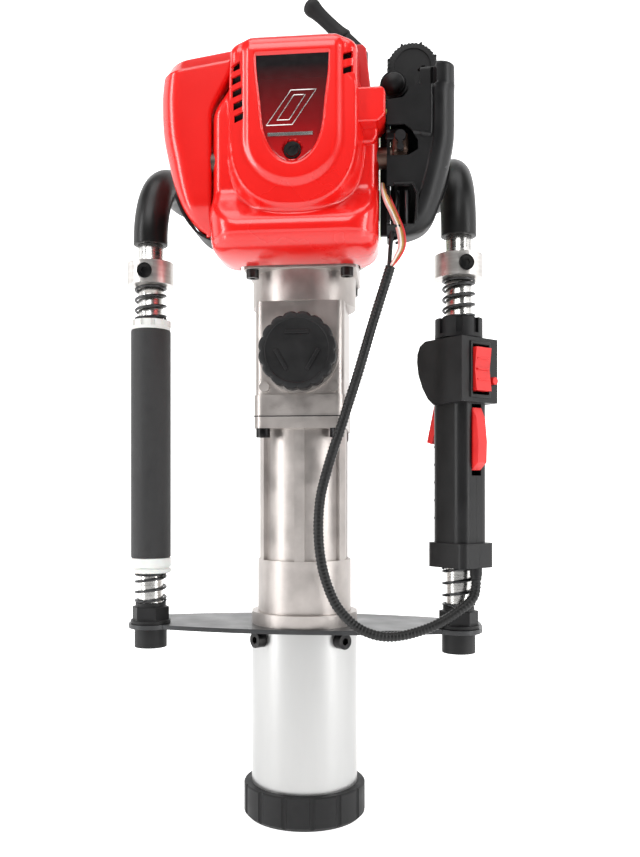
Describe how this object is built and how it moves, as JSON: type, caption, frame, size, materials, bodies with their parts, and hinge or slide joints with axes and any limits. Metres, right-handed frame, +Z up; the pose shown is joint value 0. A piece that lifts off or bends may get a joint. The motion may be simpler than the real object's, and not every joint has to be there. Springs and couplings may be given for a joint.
{
  "type": "petrol post driver",
  "caption": "Hand-held petrol post driver: steel barrel over the post, hammer cylinder and gearbox, small four-stroke engine on top, two sprung handles on a hoop.",
  "frame": {"origin": "centre of the post bore at the bottom face of the foot", "axes": "+Z up along the barrel, -Y to the front where the gearbox cap is, +X towards the control handle"},
  "size_m": [0.2963, 0.2054, 0.665],
  "materials": {
    "black_rubber": "matte moulded",
    "barrel_metal": "satin brushed",
    "plate_steel": "satin grey",
    "cast_aluminium": "fine cast, bead blasted",
    "steel": "machined",
    "black_screws": "black oxide",
    "black_plastic": "fine grained",
    "red_cover": "glossy",
    "red_control": "semi gloss",
    "grip_foam": "closed-cell foam",
    "nylon": "natural nylon",
    "spring_steel": "black oiled wire",
    "tube_steel": "satin plated",
    "collar_steel": "machined",
    "friction": "friction lining",
    "ceramic": "glazed",
    "tank_plastic": "translucent",
    "filter_foam": "open foam",
    "conduit_plastic": "corrugated",
    "carb_metal": "cast",
    "hot_steel": "heat tinted"
  },
  "bodies": {
    "root": {"foot_collar": "black_rubber", "barrel": "barrel_metal", "mounting_plate": "plate_steel", "hammer_cylinder": "cast_aluminium", "bearing_carrier": "steel", "gear_case": "cast_aluminium", "ball_bearings": "steel", "clutch_housing": "cast_aluminium", "cap_screws": "black_screws", "crankcase": "cast_aluminium", "engine_piston": "cast_aluminium", "cylinder_block": "cast_aluminium", "spark_plug": "ceramic", "muffler": "hot_steel", "carburetor": "carb_metal", "air_cleaner_base": "black_plastic", "air_filter": "filter_foam", "air_cleaner_cover": "black_plastic", "top_cover": "red_cover", "plug_cover": "red_cover", "muffler_cover": "red_cover", "recoil_housing": "black_plastic", "fuel_tank": "tank_plastic", "handlebar": "tube_steel", "handlebar_sleeve": "black_rubber", "handlebar_nuts": "black_screws", "spring_collars": "collar_steel", "lower_spring_left": "spring_steel", "upper_spring_left": "spring_steel", "lower_spring_right": "spring_steel", "upper_spring_right": "spring_steel"},
    "anvil": {"anvil": "steel"},
    "striker": {"striker": "steel"},
    "drive_piston": {"drive_piston": "steel"},
    "crank_gear": {"crank_gear": "steel"},
    "connecting_rod": {"connecting_rod": "steel"},
    "clutch_drum": {"clutch_drum": "steel", "bevel_pinion": "steel"},
    "gearbox_cap": {"gearbox_cap": "black_plastic"},
    "crankshaft": {"crankshaft": "steel", "flywheel": "cast_aluminium", "clutch_shoes": "friction"},
    "engine_rod": {"engine_rod": "steel"},
    "starter_grip": {"starter_grip": "black_plastic"},
    "recoil_pulley": {"recoil_pulley": "nylon"},
    "fuel_cap": {"fuel_cap": "black_plastic"},
    "primer_bulb": {"primer_bulb": "black_rubber"},
    "choke_lever": {"choke_lever": "black_plastic"},
    "left_grip": {"left_grip": "grip_foam", "left_grip_ends": "nylon"},
    "right_grip": {"handle_shell_left": "black_plastic", "handle_shell_right": "black_plastic", "ring_nut": "black_plastic", "cable_gland": "black_rubber", "conduit": "conduit_plastic"},
    "rocker": {"rocker": "red_control"},
    "stop_button": {"stop_button": "red_control"},
    "throttle_trigger": {"throttle_trigger": "red_control"},
    "lockout": {"lockout": "red_control"},
    "lock_knob": {"lock_knob": "black_plastic"}
  },
  "joints": [
    {"name": "anvil_slide", "type": "slide", "parent": "root", "child": "anvil", "axis": [0, 0, 1], "range_m": [0, 0.008]},
    {"name": "striker_slide", "type": "slide", "parent": "root", "child": "striker", "axis": [0, 0, 1], "range_m": [0, 0.02]},
    {"name": "drive_piston_slide", "type": "slide", "parent": "root", "child": "drive_piston", "axis": [0, 0, 1], "range_m": [0, 0.024]},
    {"name": "crank_gear_spin", "type": "hinge", "parent": "root", "child": "crank_gear", "pos_m": [0, 0, 0.369], "axis": [0, 1, 0], "continuous": true},
    {"name": "connecting_rod_hinge", "type": "hinge", "parent": "crank_gear", "child": "connecting_rod", "pos_m": [0, 0, 0.357], "axis": [0, 1, 0], "continuous": true},
    {"name": "pinion_spin", "type": "hinge", "parent": "root", "child": "clutch_drum", "pos_m": [0, 0, 0.42], "axis": [0, 0, 1], "continuous": true},
    {"name": "gearbox_cap_turn", "type": "hinge", "parent": "root", "child": "gearbox_cap", "pos_m": [0, -0.05, 0.369], "axis": [0, -1, 0], "continuous": true},
    {"name": "crankshaft_spin", "type": "hinge", "parent": "root", "child": "crankshaft", "pos_m": [0, 0, 0.5], "axis": [0, 0, 1], "continuous": true},
    {"name": "engine_rod_hinge", "type": "hinge", "parent": "crankshaft", "child": "engine_rod", "pos_m": [0, -0.012, 0.514], "axis": [0, 0, 1], "continuous": true},
    {"name": "starter_pull", "type": "slide", "parent": "root", "child": "starter_grip", "axis": [-0.7071, 0, 0.7071], "range_m": [0, 0.6], "stiffness_N_per_m": 8, "springref_m": -0.1},
    {"name": "recoil_pulley_turn", "type": "hinge", "parent": "root", "child": "recoil_pulley", "pos_m": [0, 0, 0.596], "axis": [0, 0, 1], "range_deg": [0, 1300]},
    {"name": "fuel_cap_turn", "type": "hinge", "parent": "root", "child": "fuel_cap", "pos_m": [0.088, 0.015, 0.611], "axis": [0, -1, 0], "continuous": true},
    {"name": "primer_press", "type": "slide", "parent": "root", "child": "primer_bulb", "axis": [0, 1, 0], "range_m": [0, 0.0035], "stiffness_N_per_m": 400, "springref_m": -0.001},
    {"name": "choke_turn", "type": "hinge", "parent": "root", "child": "choke_lever", "pos_m": [0.078, -0.0623, 0.526], "axis": [0, 1, 0], "range_deg": [-20, 20]},
    {"name": "left_grip_slide", "type": "slide", "parent": "root", "child": "left_grip", "axis": [0, 0, 1], "range_m": [-0.008, 0.008], "stiffness_N_per_m": 6000, "deforming": ["lower_spring_left", "upper_spring_left"]},
    {"name": "right_grip_slide", "type": "slide", "parent": "root", "child": "right_grip", "axis": [0, 0, 1], "range_m": [-0.008, 0.008], "stiffness_N_per_m": 9000, "deforming": ["lower_spring_right", "upper_spring_right"]},
    {"name": "rocker_tilt", "type": "hinge", "parent": "right_grip", "child": "rocker", "pos_m": [0.13646, -0.0339, 0.355], "axis": [0.7314, 0.682, 0], "range_deg": [-6, 6]},
    {"name": "stop_button_press", "type": "slide", "parent": "right_grip", "child": "stop_button", "axis": [-0.682, 0.7314, 0], "range_m": [0, 0.0025], "stiffness_N_per_m": 300, "springref_m": -0.001},
    {"name": "throttle_trigger_pull", "type": "hinge", "parent": "right_grip", "child": "throttle_trigger", "pos_m": [0.11293, -0.00866, 0.3375], "axis": [-0.7314, -0.682, 0], "range_deg": [0, 14], "stiffness_Nm_per_rad": 0.12, "springref_deg": -8.59},
    {"name": "lockout_press", "type": "hinge", "parent": "right_grip", "child": "lockout", "pos_m": [0.13612, -0.03353, 0.324], "axis": [0.7314, 0.682, 0], "range_deg": [0, 8], "stiffness_Nm_per_rad": 0.12, "springref_deg": -8.59},
    {"name": "lock_knob_press", "type": "slide", "parent": "right_grip", "child": "lock_knob", "axis": [0.682, -0.7314, 0], "range_m": [0, 0.003], "stiffness_N_per_m": 300, "springref_m": -0.001}
  ],
  "couplings": [
    {"joint": "connecting_rod_hinge", "follows": "crank_gear_spin", "ratio": -1},
    {"joint": "pinion_spin", "follows": "crank_gear_spin", "ratio": 3},
    {"joint": "engine_rod_hinge", "follows": "crankshaft_spin", "ratio": -1},
    {"joint": "recoil_pulley_turn", "follows": "starter_pull", "rad_per_m": 37.037}
  ]
}
